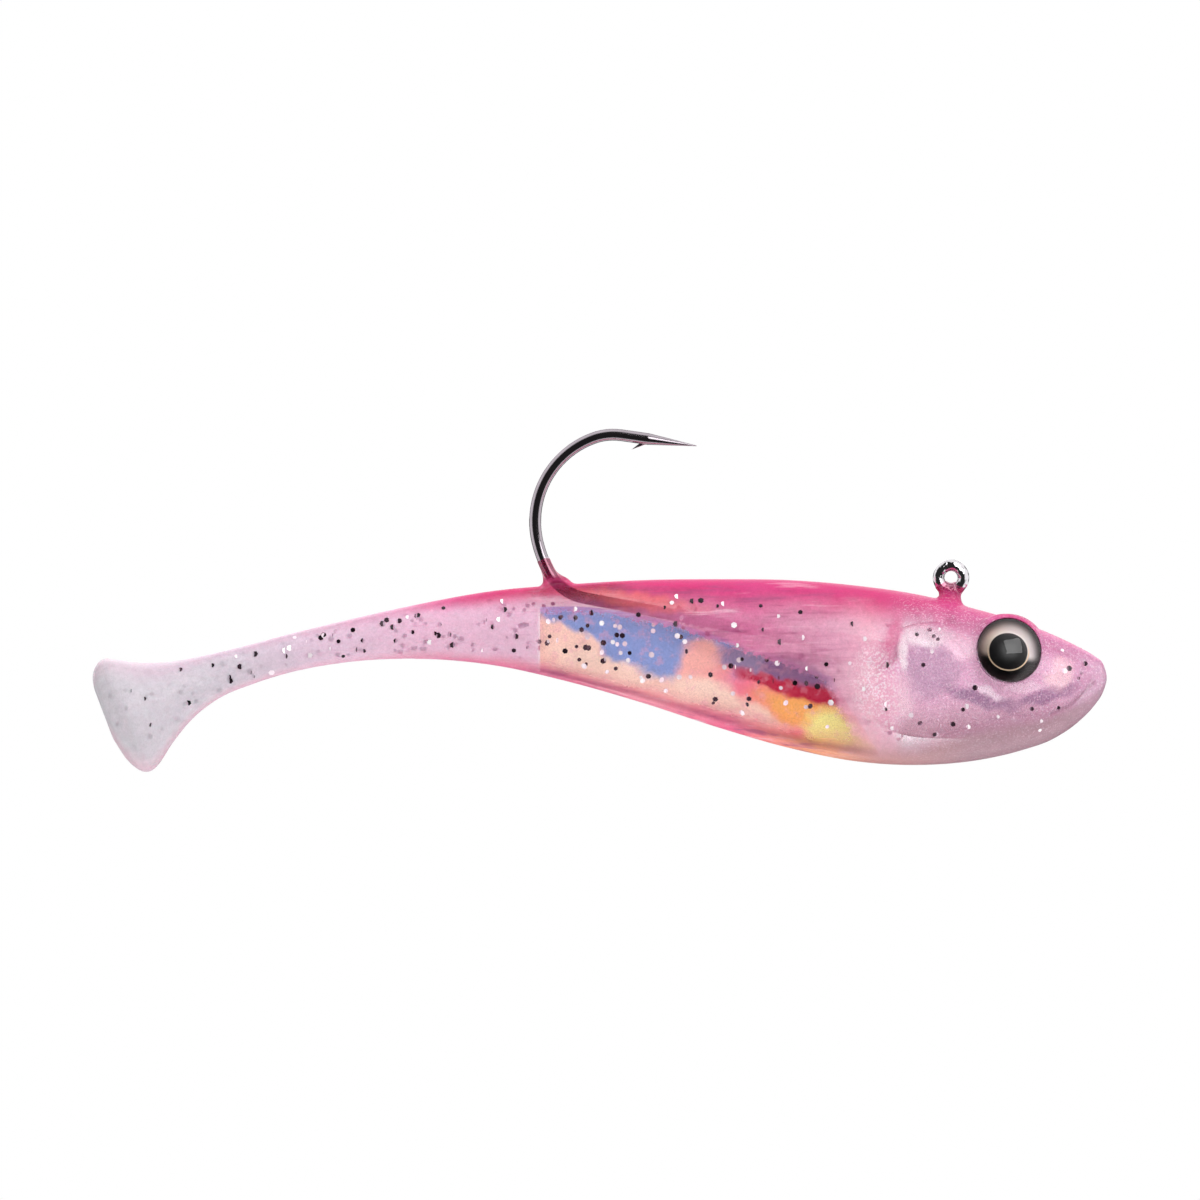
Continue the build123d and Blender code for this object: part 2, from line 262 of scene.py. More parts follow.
def press_line(mesh, line, depth, width, flank_range):
    """Presses a line, seen from the side, into the flanks of a mesh."""
    co, normal = vertex_array(mesh), normal_array(mesh)
    flank = smoothstep(*flank_range, np.abs(normal[:, 1]))
    co -= normal * (depth * line_bump(co, line, width) * flank)[:, None]
    mesh.vertices.foreach_set("co", co.astype(np.float32).ravel())
    mesh.update()


def line_bump(co, line, width):
    """1 on a line seen from the side, falling to 0 over about two widths."""
    best = np.full(len(co), 1e9)
    flat = co[:, [0, 2]]
    for a, b in zip(line[:-1], line[1:]):
        a, b = np.array(a), np.array(b)
        t = np.clip(((flat - a) @ (b - a)) / ((b - a) @ (b - a)), 0, 1)
        best = np.minimum(best, np.linalg.norm(flat - (a + t[:, None] * (b - a)), axis=1))
    return np.exp(-((best / width) ** 2))


def put_number(mesh, name, values):
    data = mesh.attributes.new(name, "FLOAT", "POINT").data
    data.foreach_set("value", np.asarray(values, np.float32))


def put_vector(mesh, name, vectors):
    data = mesh.attributes.new(name, "FLOAT_VECTOR", "POINT").data
    data.foreach_set("vector", np.array(vectors, np.float32).ravel())


def smoothstep(low, high, value):
    t = np.clip((value - low) / (high - low), 0, 1)
    return t * t * (3 - 2 * t)


# ---- Body sections ----
def interpolated_rows(step=ROW_STEP):
    """Rows of the outline table, with smooth rows between them at about one step."""
    rows = np.array([[*top, *bottom, half, square] for top, bottom, half, square in STATIONS])
    middle = (rows[:, 0:2] + rows[:, 2:4]) / 2
    run = np.concatenate([[0], np.cumsum(np.linalg.norm(np.diff(middle, axis=0), axis=1))])
    slopes = np.gradient(rows, run, axis=0)
    made = []
    for i in range(len(rows) - 1):
        gap = run[i + 1] - run[i]
        count = max(3, round(gap / step))
        for k in range(count):
            t = k / count
            made.append(
                rows[i] * (2 * t**3 - 3 * t**2 + 1) + slopes[i] * gap * (t**3 - 2 * t**2 + t)
                + rows[i + 1] * (3 * t**2 - 2 * t**3) + slopes[i + 1] * gap * (t**3 - t**2)
            )
    made.append(rows[-1])
    return np.array(made)


def fuller(share, squareness):
    return math.copysign(abs(share) ** (2 / squareness), share)


def section_point(row, turn, share=1.0):
    """Point of a section at a turn in radians from its widest point, at a share of the way out."""
    top, bottom, half, square = row[0:2], row[2:4], row[4], row[5]
    rise = fuller(math.sin(turn), square)
    x, z = (top + bottom) / 2 + (top - bottom) / 2 * rise * share
    y = half * share * fuller(math.cos(turn), square) * (1 + BACK_FULLNESS * rise)
    return np.array([x, y, z])


def body_solid():
    turns = [2 * math.pi * k / RING_STEPS for k in range(RING_STEPS)]
    rings = [[section_point(row, turn) for turn in turns] for row in interpolated_rows()]
    return rings_to_mesh(rings)


def row_at(rows, x):
    """The outline's row whose middle is at x."""
    middle = (rows[:, 0] + rows[:, 2]) / 2
    order = np.argsort(middle)
    return np.array([np.interp(x, middle[order], rows[order, i]) for i in range(rows.shape[1])])


def outline_at(x, rows):
    """(top z, bottom z) of the body's side outline at x, for an array of x."""
    order = np.argsort(rows[:, 0])
    top = np.interp(x, rows[order, 0], rows[order, 1])
    order = np.argsort(rows[:, 2])
    bottom = np.interp(x, rows[order, 2], rows[order, 3])
    return top, bottom


# ---- Eye frame ----
def eye_matrix(hand):
    """Local frame of an eye's seat, with local Z out of the head. hand is +1 left, -1 right."""
    forward, up = math.radians(EYE_FORWARD), math.radians(EYE_UP)
    sideways = hand * math.cos(forward) * math.cos(up)
    out = Vector((math.sin(forward), sideways, math.sin(up))).normalized()
    right = Vector((-hand * math.cos(forward), math.sin(forward), 0)).normalized()
    right = (right - out * right.dot(out)).normalized()
    upward = out.cross(right)
    matrix = Matrix((right, upward, out)).transposed().to_4x4()
    matrix.translation = Vector((EYE_SEAT[0], hand * EYE_SEAT[1], EYE_SEAT[2]))
    return matrix


def placed(rings, matrix):
    return [[tuple(matrix @ Vector(p)) for p in ring] for ring in rings]


# ---- Hook line ----
def hook_line(step=0.35):
    """Middle of the wire from the jig bend to the point, as (x, z) points."""
    heading = 180 - SHANK_ANGLE
    start = np.array(JIG_CORNER)
    at = start + polar(heading, SHANK_L)
    points = [start + (at - start) * t for t in np.linspace(0, 1, 60)[:-1]]
    for radius, end_heading in BEND_ARCS:
        middle = at + polar(heading - 90, radius)
        count = max(4, round(math.radians(heading - end_heading) * radius / step))
        for turn in np.linspace(heading, end_heading, count)[:-1]:
            points.append(middle + polar(turn + 90, radius))
        at = middle + polar(end_heading + 90, radius)
        heading = end_heading
    points.append(at)
    return np.array(points)


def film_path():
    """Stretch of the wire that soft plastic covers above the back."""
    line = hook_line()
    x, z = line[:, 0], line[:, 1]
    return line[(x < FILM_FRONT_X) & (z < FILM_TOP_Z) & (z > FILM_FOOT_Z)]


# ---- Soft skin ----
# The skin's pieces from the head to the tail, and the CAD nodes that each stands for.
SKIN_NODES = {
    "torso_skin": ["soft_torso"], "tail_root_skin": ["tail_root"],
    "tail_middle_skin": ["tail_middle"], "tail_end_skin": ["tail_stem", "tail_paddle"],
}


def soft_forms():
    """Body, eye rims and the plastic that climbs the ring and the hook, as closed forms."""
    forms = [body_solid()]
    for hand in (1, -1):
        shifted = eye_matrix(hand) @ Matrix.Translation(EYE_RIM_SHIFT)
        forms.append(rings_to_mesh(placed(revolve(EYE_RIM), shifted)))
    saddle = [polar(turn, RING_MEAN_R) for turn in np.linspace(*SADDLE_TURNS, 22)]
    neck = [(LEG_X, z) for z in NECK_Z]
    film = film_path()
    tubes = (
        (saddle, [SADDLE_R] * len(saddle)), (neck, NECK_R),
        (film, [FILM_R] * len(film)), (HOOK_FOOT, HOOK_FOOT_R),
    )
    return forms + [rings_to_mesh(tube(path, radii)) for path, radii in tubes]


def eye_cutter(hand):
    reach = EYE_R + WELL_GAP
    well = [(0.01, PAD_T), (reach, PAD_T), (reach, WELL_TOP), (0.01, WELL_TOP)]
    points, faces = rings_to_mesh(placed(revolve(well, 96), eye_matrix(hand)))
    return in_scene("eye_cutter", mesh_of(points, faces))


def whole_skin():
    points, faces = join_meshes(soft_forms())
    solid = mesh_of(points, faces)
    cutters = [eye_cutter(1), eye_cutter(-1)]
    settings = [
        ("REMESH", {"mode": "VOXEL", "voxel_size": SKIN_VOXEL}),
        ("SMOOTH", {"factor": 0.5, "iterations": SKIN_SMOOTHING}),
    ]
    for cutter in cutters:
        cut = {"operation": "DIFFERENCE", "solver": "EXACT", "object": cutter}
        settings.append(("BOOLEAN", cut))
    mesh = through_modifiers(solid, *settings)
    for cutter in cutters:
        bpy.data.objects.remove(cutter)
    press_line(mesh, MOUTH, MOUTH_DEPTH, MOUTH_W, (0.15, 0.5))
    return mesh


def tail_cuts():
    """x of the skin's cuts, each midway between two hinges, and the hinges' own x."""
    hinges = [joint["pos_m"][0] / MM for joint in frame["joints"]]
    return [(a + b) / 2 for a, b in zip(hinges[:-1], hinges[1:])], hinges


def part_of(mesh, low_x, high_x, normals):
    """The faces of a mesh between two x, with the whole mesh's normals, so that cuts don't show."""
    co = vertex_array(mesh)
    keep = [p for p in mesh.polygons if low_x <= co[list(p.vertices), 0].mean() < high_x]
    used = sorted({i for p in keep for i in p.vertices})
    new_index = {old: new for new, old in enumerate(used)}
    part = mesh_of(co[used], [tuple(new_index[i] for i in p.vertices) for p in keep])
    shade_smooth(part)
    return part, normals[used]


def cut_across(mesh, cuts):
    """Adds edges where upright planes at some x cross a mesh."""
    work = bmesh.new()
    work.from_mesh(mesh)
    for x in cuts:
        plane = {"plane_co": (x, 0, 0), "plane_no": (1, 0, 0), "dist": 1e-5}
        bmesh.ops.bisect_plane(work, geom=work.verts[:] + work.edges[:] + work.faces[:], **plane)
    work.to_mesh(mesh)
    work.free()


def skin_pieces():
    """The skin as pieces, each with one hinge: name, mesh, normals, bodies, hinge x."""
    mesh = whole_skin()
    cuts, hinges = tail_cuts()
    cut_across(mesh, cuts)
    shade_smooth(mesh)
    normals = normal_array(mesh)
    edges = [math.inf] + cuts + [-math.inf]
    bodies = ["torso"] + [joint["child"] for joint in frame["joints"]]
    for i, name in enumerate(SKIN_NODES):
        part, part_normals = part_of(mesh, edges[i + 1], edges[i], normals)
        yield name, part, part_normals, bodies[i], bodies[i + 1], hinges[i]


def bend_between(obj, front_body, rear_body, hinge_x):
    """Bakes a piece's placing into its mesh."""
    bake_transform(obj)


# ---- Node helpers ----
def feed(tree, socket, value):
    if isinstance(value, bpy.types.NodeSocket):
        tree.links.new(value, socket)
    else:
        socket.default_value = value


def add_node(tree, kind, values=None, **settings):
    made = tree.nodes.new("ShaderNode" + kind)
    for key, value in settings.items():
        setattr(made, key, value)
    for key, value in (values or {}).items():
        feed(tree, made.inputs[key], value)
    return made


def calc(tree, operation, a, b=0.0, clamp=False):
    return add_node(tree, "Math", {0: a, 1: b}, operation=operation, use_clamp=clamp).outputs[0]


def times(tree, *values):
    product = values[0]
    for value in values[1:]:
        product = calc(tree, "MULTIPLY", product, value)
    return product


def plus(tree, a, b):
    return calc(tree, "ADD", a, b)


def minus(tree, a, b, clamp=False):
    return calc(tree, "SUBTRACT", a, b, clamp)


def linear(tree, value, slope, offset):
    return plus(tree, times(tree, value, slope), offset)


def size_of(tree, value):
    return calc(tree, "ABSOLUTE", value)


def vector_calc(tree, operation, a, b):
    return add_node(tree, "VectorMath", {0: a, 1: b}, operation=operation).outputs[0]


def length_of(tree, vector):
    return add_node(tree, "VectorMath", {0: vector}, operation="LENGTH").outputs["Value"]


def split(tree, vector):
    return add_node(tree, "SeparateXYZ", {0: vector}).outputs[:3]


def mix_colour(tree, share, a, b, blend_type="MIX"):
    values = {0: share, 6: a, 7: b}
    return add_node(tree, "Mix", values, data_type="RGBA", blend_type=blend_type).outputs[2]


def mix_number(tree, share, a, b):
    return add_node(tree, "Mix", {0: share, 2: a, 3: b}, data_type="FLOAT").outputs[0]


def brightened(tree, colour, brightness):
    grey = add_node(tree, "CombineColor", {0: brightness, 1: brightness, 2: brightness}).outputs[0]
    return mix_colour(tree, 1.0, colour, grey, "MULTIPLY")


def fade(tree, value, low, high):
    """0 below low, 1 above high, and smooth between them."""
    values = {0: value, 1: low, 2: high, 3: 0.0, 4: 1.0}
    return add_node(tree, "MapRange", values, interpolation_type="SMOOTHSTEP").outputs[0]


def ramp(tree, value, low, high, stops):
    """Colour and its fourth number over a range of a value. Each stop is (value, *8-bit colour)."""
    share = add_node(tree, "MapRange", {0: value, 1: low, 2: high, 3: 0.0, 4: 1.0}).outputs[0]
    made = add_node(tree, "ValToRGB", {0: share})
    elements = made.color_ramp.elements
    while len(elements) < len(stops):
        elements.new(0.5)
    for element, (at, *colour) in zip(elements, sorted(stops)):
        element.position = (at - low) / (high - low)
        element.color = srgb(*colour)
    return made.outputs[0], made.outputs[1]


def noise(tree, position, scale, detail=2.0, roughness=0.5):
    values = {"Vector": position, "Scale": scale, "Detail": detail, "Roughness": roughness}
    return add_node(tree, "TexNoise", values).outputs[0]


def bump(tree, height, distance, strength=1.0, **inputs):
    values = {"Height": height, "Distance": distance, "Strength": strength, **inputs}
    return add_node(tree, "Bump", values).outputs[0]


def attribute(tree, name, output="Fac"):
    """A value or vector that the mesh carries with it."""
    return add_node(tree, "Attribute", attribute_name=name).outputs[output]


def millimetres(tree):
    """Position in the row frame in millimetres, on a piece whose object sits at the origin."""
    place = add_node(tree, "TexCoord").outputs["Object"]
    return add_node(tree, "VectorMath", {0: place, "Scale": 1 / MM}, operation="SCALE").outputs[0]


def rest_place(tree):
    """Position at rest in millimetres, which a bending piece carries with it."""
    return attribute(tree, "rest", "Vector")


def side_place(tree, vector, wander, wander_scale):
    """(x, 0, z) of a position, moved about a little by noise so that edges aren't ruled lines."""
    flat = vector_calc(tree, "MULTIPLY", vector, (1, 0, 1))
    values = {"Vector": flat, "Scale": wander_scale, "Detail": 2.0}
    moved = add_node(tree, "TexNoise", values).outputs[1]
    centred = vector_calc(tree, "SUBTRACT", moved, (0.5, 0.5, 0.5))
    offset = vector_calc(tree, "MULTIPLY", centred, (wander, 0, wander))
    return vector_calc(tree, "ADD", flat, offset)


def patch_share(tree, flat, centre, size, turn, soft):
    """1 inside an ellipse seen from the side and 0 outside. soft is a share of its size."""
    values = {
        "Vector": flat, "Location": (centre[0], 0, centre[1]),
        "Rotation": (0, math.radians(-turn), 0), "Scale": (size[0], 1, size[1]),
    }
    local = add_node(tree, "Mapping", values, vector_type="TEXTURE").outputs[0]
    return minus(tree, 1.0, fade(tree, length_of(tree, local), 1 - soft, 1 + soft))


def patchwork(tree, flat, base, patches):
    """Patches of colour over a base, in order: centre, half sizes, turn, soft edge, colour."""
    colour = base
    for centre, size, turn, soft, paint in patches:
        share = patch_share(tree, flat, centre, size, turn, soft)
        colour = mix_colour(tree, share, colour, paint)
    return colour


def new_material(name):
    material = bpy.data.materials.new(name)
    material.use_nodes = True
    tree = material.node_tree
    return material, tree, tree.nodes["Principled BSDF"]


def set_inputs(tree, shader, **values):
    """Sets or links a shader's own sockets. An underscore in a name stands for a space."""
    for name, value in values.items():
        feed(tree, shader.inputs[name.replace("_", " ")], value)


def set_surface(tree, share, through, surface):
    """Ends a material in a mix of a see-through shader and another."""
    values = {0: share, 1: through.outputs[0], 2: surface.outputs[0]}
    both = add_node(tree, "MixShader", values)
    feed(tree, tree.nodes["Material Output"].inputs["Surface"], both.outputs[0])


def dress(obj, material):
    obj.data.materials.clear()
    obj.data.materials.append(material)


# ---- Soft plastic ----
TAIL_X, NOSE_X = -86.0, 16.0

# Pigment along the flank over the foil, the flank off the foil, the back and the belly:
# x, 8-bit colour, and how much it hides what is inside.
TAIL_PIGMENT = [
    (-86, 200, 195, 202, 0.68), (-72, 208, 197, 208, 0.66), (-63, 222, 192, 213, 0.62),
]
FLANK_PIGMENT = TAIL_PIGMENT + [
    (-52, 232, 182, 210, 0.60), (-41.4, 226, 176, 206, 0.56), (-41.0, 236, 176, 196, 0.06),
    (-12, 228, 160, 190, 0.05), (-6, 228, 160, 185, 0.20), (16, 222, 166, 198, 0.22),
]
SHOULDER_PIGMENT = TAIL_PIGMENT + [
    (-52, 232, 178, 208, 0.60), (-43, 224, 164, 196, 0.58), (-39, 206, 122, 162, 0.34),
    (-33, 202, 112, 152, 0.46), (-27, 204, 114, 156, 0.66), (-20, 210, 116, 158, 0.76),
    (-12, 218, 158, 184, 0.74), (-8, 238, 180, 200, 0.70), (-6.0, 232, 158, 190, 0.52),
    (-4.6, 228, 166, 200, 0.10), (12, 224, 164, 198, 0.22), (14.6, 204, 154, 184, 0.80),
    (16, 204, 154, 184, 0.85),
]
BACK_PIGMENT = [
    (-86, 214, 198, 208, 0.66), (-72, 218, 196, 212, 0.62), (-62, 222, 186, 206, 0.60),
    (-56, 224, 168, 196, 0.60), (-50, 216, 92, 146, 0.66), (-44, 208, 40, 108, 0.66),
    (-40, 214, 60, 120, 0.64), (-34, 216, 50, 112, 0.62), (-29, 218, 50, 122, 0.62),
    (-20, 208, 52, 126, 0.68), (-8, 202, 44, 114, 0.74), (4, 202, 88, 146, 0.74),
    (12, 206, 126, 170, 0.66), (16, 210, 146, 182, 0.62),
]
BELLY_PIGMENT = [
    (-86, 214, 192, 202, 0.68), (-72, 218, 182, 198, 0.64), (-60, 224, 178, 200, 0.62),
    (-48, 218, 124, 158, 0.66), (-38, 224, 110, 144, 0.62), (-30, 246, 150, 168, 0.42),
    (-22, 240, 98, 142, 0.66), (-14, 255, 170, 124, 0.28), (-7, 194, 140, 140, 0.72),
    (2, 170, 132, 144, 0.86), (12, 168, 130, 144, 0.88), (16, 182, 138, 162, 0.88),
]

# Ranges that a share goes from 0 to 1 over. Rises are shares of the body's half height.
BACK_RISE, BELLY_DROP = (0.48, 0.92), (0.62, 0.95)
CHIN_X, CHIN_LIFT = (-6, 8), 0.28         # the belly's band reaches higher under the chin
FOIL_FRONT_X = (-15, -9)
FOIL_FADE_FROM = (-0.6, -1.9)             # where the foil starts to fade, behind and at its front
STREAKS_START_X, STREAKS_END_X = (-48, -36), (-6, -16)
HEAD_X, WET_X = (-7, -3), (-40, -4)
RIM_RISE, RIM_X = (0.84, 1.02), (-56, -44)
EDGE_RISE, EDGE_DENSITY = (0.84, 0.98), 0.9
HOOK_REAR_X, HOOK_FRONT_X, HOOK_SIDE_Y = (-43.5, -41.5), (-31.0, -34.5), (0.5, 1.5)
FILM_RISE, LIP_Z = (1.02, 1.25), (FILM_TOP_Z - 0.22, FILM_TOP_Z - 0.05)

# Marks painted on the skin, seen from the side: (centre, half sizes, turn, soft edge),
# how far and how finely the edge wanders, strength, and colour. All of them are painted light and
# shade: shade by the foil's upper edge, a salmon highlight just above the hook shank, a speckled
# highlight behind the head, and the shadow under the top of the gill edge.
DUSK_SHADE_MARK = (((-14.8, -9.1), (2.8, 0.7), -21, 0.5), (1.0, 0.8), 0.7, srgb(156, 92, 134))
SALMON_HIGHLIGHT_MARK = (((-31.5, -2.3), (6.0, 0.8), -7, 0.6), (1.6, 0.6), 0.55, srgb(250, 118, 104))
SPECKLED_HIGHLIGHT_MARK = (((-6.8, -10.8), (2.4, 4.4), 12, 0.6), (3.0, 0.5), 1.0, srgb(255, 238, 246))
GILL_SHADOW_MARK = (((-5.7, -5.6), (0.7, 2.0), -16, 0.6), (0.8, 0.8), 0.6, srgb(206, 70, 128))
DARK_STREAK, PALE_STREAK = srgb(160, 70, 120), srgb(246, 200, 218)
# White dots painted as glints on the head, and painted shade along the mouth crease.
GLINT_SPECK, MOUTH_CREASE_SHADE = srgb(255, 240, 248), srgb(150, 92, 122)
# The second colour is a painted highlight along the upper lip of the film on the hook.
RIM, FILM_LIP_HIGHLIGHT = srgb(200, 44, 110), srgb(240, 220, 230)


def skin_reads(tree):
    """What the skin's patterns are placed by. All of it is kept from rest, so nothing slides."""
    rest = rest_place(tree)
    x, y, z = split(tree, rest)
    wander = times(tree, minus(tree, noise(tree, rest, 0.16, 3.0), 0.5), 0.35)
    height = attribute(tree, "rise")
    wavy = plus(tree, height, wander)
    return SimpleNamespace(rest=rest, x=x, y=y, z=z, wander=wander, height=height, wavy=wavy)


def off_foil_share(tree, at):
    """1 off the foil and 0 over it, with a ragged edge that is wider at the foil's front."""
    ragged = fade(tree, noise(tree, at.rest, 1.5, 4.0, 0.8), 0.42, 0.70)
    fade_from = mix_number(tree, fade(tree, at.x, *FOIL_FRONT_X), *FOIL_FADE_FROM)
    off = plus(tree, attribute(tree, "off_foil"), plus(tree, at.wander, times(tree, ragged, 0.7)))
    return fade(tree, off, fade_from, -0.02)


def pigment(tree, at):
    """Colour and density of the plastic, and the shares of its back and belly bands."""
    back_share = fade(tree, at.wavy, *BACK_RISE)
    chin = times(tree, fade(tree, at.x, *CHIN_X), CHIN_LIFT)
    belly_share = fade(tree, minus(tree, chin, at.wavy), *BELLY_DROP)
    bands = (
        (off_foil_share(tree, at), SHOULDER_PIGMENT),
        (back_share, BACK_PIGMENT),
        (belly_share, BELLY_PIGMENT),
    )
    colour, density = ramp(tree, at.x, TAIL_X, NOSE_X, FLANK_PIGMENT)
    for share, stops in bands:
        band_colour, band_density = ramp(tree, at.x, TAIL_X, NOSE_X, stops)
        colour = mix_colour(tree, share, colour, band_colour)
        density = mix_number(tree, share, density, band_density)
    return colour, density, back_share, belly_share


def streaked(tree, at, colour):
    """Dark and pale lines that run along the flank."""
    stretched = vector_calc(tree, "MULTIPLY", at.rest, (0.10, 0.6, 1.0))
    lines = noise(tree, stretched, 1.1, 3.0, 0.6)
    start = fade(tree, at.x, *STREAKS_START_X)
    flow = times(tree, start, fade(tree, at.x, *STREAKS_END_X))
    dark = times(tree, fade(tree, lines, 0.48, 0.70), flow, 0.7)
    pale = times(tree, fade(tree, lines, 0.44, 0.30), flow, 0.6)
    return mix_colour(tree, pale, mix_colour(tree, dark, colour, DARK_STREAK), PALE_STREAK)


def mark_share(tree, at, mark):
    shape, wander, strength, _ = mark
    return times(tree, patch_share(tree, side_place(tree, at.rest, *wander), *shape), strength)


def painted_light_and_shade(tree, at, colour, density, belly_share):
    """Painted light and shade at fixed places: highlights, shadows, white glints on the head, and
    shade along the mouth crease.
    """
    # Painted shade by the foil's upper edge, and a painted salmon highlight just above the hook
    # shank.
    for mark in (DUSK_SHADE_MARK, SALMON_HIGHLIGHT_MARK):
        colour = mix_colour(tree, mark_share(tree, at, mark), colour, mark[-1])
    # A painted highlight behind the head, broken into white grains.
    grains = fade(tree, noise(tree, at.rest, 4.6, 2.0, 0.8), 0.48, 0.60)
    speckled_highlight = times(tree, mark_share(tree, at, SPECKLED_HIGHLIGHT_MARK), grains)
    colour = mix_colour(tree, speckled_highlight, colour, SPECKLED_HIGHLIGHT_MARK[-1])
    # Painted shadow under the top of the gill edge, with denser pigment.
    gill = mark_share(tree, at, GILL_SHADOW_MARK)
    # White dots painted as glints over the head, fewer on the belly.
    glint_specks = fade(tree, noise(tree, at.rest, 5.2, 2.0, 0.8), 0.52, 0.66)
    off_belly = minus(tree, 1.0, times(tree, belly_share, 0.6))
    glint_specks = times(tree, glint_specks, fade(tree, at.x, *HEAD_X), 0.45, off_belly)
    for share, paint in ((gill, GILL_SHADOW_MARK[-1]), (glint_specks, GLINT_SPECK)):
        colour = mix_colour(tree, share, colour, paint)
        density = mix_number(tree, share, density, 0.8)
    # Painted shade along the mouth crease.
    mouth = times(tree, attribute(tree, "mouth"), 0.5)
    return mix_colour(tree, mouth, colour, MOUTH_CREASE_SHADE), density


def edged(tree, at, colour, density, back_share):
    """Deeper pigment along the upper and lower outline, and clearer plastic beside the hook."""
    rim_x = fade(tree, at.x, *RIM_X)
    rim = times(tree, fade(tree, at.wavy, *RIM_RISE), rim_x, 0.55)
    colour = mix_colour(tree, rim, colour, RIM)
    by_hook = times(
        tree, fade(tree, at.x, *HOOK_REAR_X), fade(tree, at.x, *HOOK_FRONT_X),
        fade(tree, size_of(tree, at.y), *HOOK_SIDE_Y),
    )
    density = minus(tree, density, times(tree, by_hook, back_share, 0.46), clamp=True)
    off_hook = minus(tree, 1.0, times(tree, by_hook, 0.85))
    edge = times(tree, fade(tree, size_of(tree, at.height), *EDGE_RISE), off_hook)
    density = mix_number(tree, edge, density, calc(tree, "MAXIMUM", density, EDGE_DENSITY))
    return colour, density


def filmed(tree, at, colour, density):
    """The thin film on the hook above the back, with a painted highlight along its upper lip. Also
    its own share.
    """
    film = fade(tree, at.height, *FILM_RISE)
    lip = fade(tree, at.z, *LIP_Z)
    density = mix_number(tree, lip, mix_number(tree, film, density, 0.12), 0.5)
    return mix_colour(tree, lip, colour, FILM_LIP_HIGHLIGHT), density, film


def soft_plastic():
    """Body colour mixed with tinted see-through plastic, by the pigment's density."""
    material, tree, shader = new_material("soft_plastic")
    at = skin_reads(tree)
    colour, density, back_share, belly_share = pigment(tree, at)
    colour = streaked(tree, at, colour)
    colour, density = painted_light_and_shade(tree, at, colour, density, belly_share)
    cloud = linear(tree, noise(tree, at.rest, 1.3, 4.0, 0.6), 0.5, 0.75)
    density = calc(tree, "MULTIPLY", density, cloud, clamp=True)
    colour, density = edged(tree, at, colour, density, back_share)
    colour, density, film = filmed(tree, at, colour, density)
    grain = noise(tree, at.rest, 5.0, 3.0, 0.9)
    colour = brightened(tree, colour, linear(tree, grain, 0.64, 0.68))
    off_belly = minus(tree, 1.0, times(tree, belly_share, 0.8))
    wettest = calc(tree, "MINIMUM", off_belly, minus(tree, 1.1, back_share))
    wet = times(tree, linear(tree, fade(tree, at.x, *WET_X), 0.45, 0.12), wettest)
    set_inputs(
        tree, shader, Base_Color=colour, Roughness=0.42, Specular_IOR_Level=0.32,
        Coat_Weight=wet, Coat_Roughness=0.14,
        Subsurface_Weight=0.35, Subsurface_Radius=(1.0, 0.45, 0.6), Subsurface_Scale=0.0012,
        Normal=bump(tree, noise(tree, at.rest, 2.2, 3.0), 0.00004, 0.5),
    )
    clearness = mix_number(tree, film, mix_number(tree, back_share, 0.92, 0.25), 0.62)
    tint = mix_colour(tree, clearness, colour, (1, 1, 1, 1))
    clear = add_node(tree, "BsdfTransparent", {"Color": tint})
    set_surface(tree, density, clear, shader)
    return material


# ---- Foil, lead and hook ----
BLUE, PEACH, CREAM = srgb(132, 160, 216), srgb(255, 216, 198), srgb(255, 226, 206)
DUSK, SALMON, MAUVE = srgb(150, 138, 176), srgb(255, 188, 176), srgb(140, 104, 150)
CRIMSON, ORANGE, YELLOW = srgb(196, 0, 56), srgb(255, 182, 96), srgb(255, 252, 156)
ROSE, BLUSH, BLOOM = srgb(252, 128, 150), srgb(246, 178, 184), srgb(238, 170, 190)
# Painted shade for the foil's cut edge.
CUT_EDGE_SHADE = srgb(120, 60, 104)
# The foil's colours, seen from the side: centre (x, z), half sizes, turn, soft edge, colour.
FOIL_PATCHES = [
    ((-24.0, -15.4), (19.0, 3.9), -13, 0.12, ROSE),
    ((-39.0, -7.4), (5.6, 2.7), -26, 0.14, PEACH),
    ((-34.0, -9.3), (5.6, 1.3), -20, 0.40, CREAM),
    ((-24.9, -9.2), (2.5, 3.0), -8, 0.22, SALMON),
    ((-26.0, -11.8), (4.2, 1.5), -14, 0.45, CREAM),
    ((-16.6, -9.9), (6.2, 1.9), -20, 0.30, MAUVE),
    ((-20.4, -8.2), (1.8, 2.0), -30, 0.30, DUSK),
    ((-7.6, -12.0), (3.6, 4.6), -20, 0.30, BLUSH),
    ((-21.0, -12.6), (5.6, 1.6), -18, 0.50, CREAM),
    ((-17.0, -12.2), (6.6, 1.5), -20, 0.40, ROSE),
    ((-14.2, -13.6), (5.4, 1.7), -20, 0.40, ORANGE),
    ((-12.4, -15.8), (2.6, 2.6), 8, 0.25, YELLOW),
    ((-8.2, -17.6), (3.2, 1.6), -12, 0.40, YELLOW),
    ((-16.8, -10.9), (5.4, 0.55), -17, 0.45, CRIMSON),
    ((-13.4, -11.6), (3.0, 1.0), -15, 0.35, CRIMSON),
]


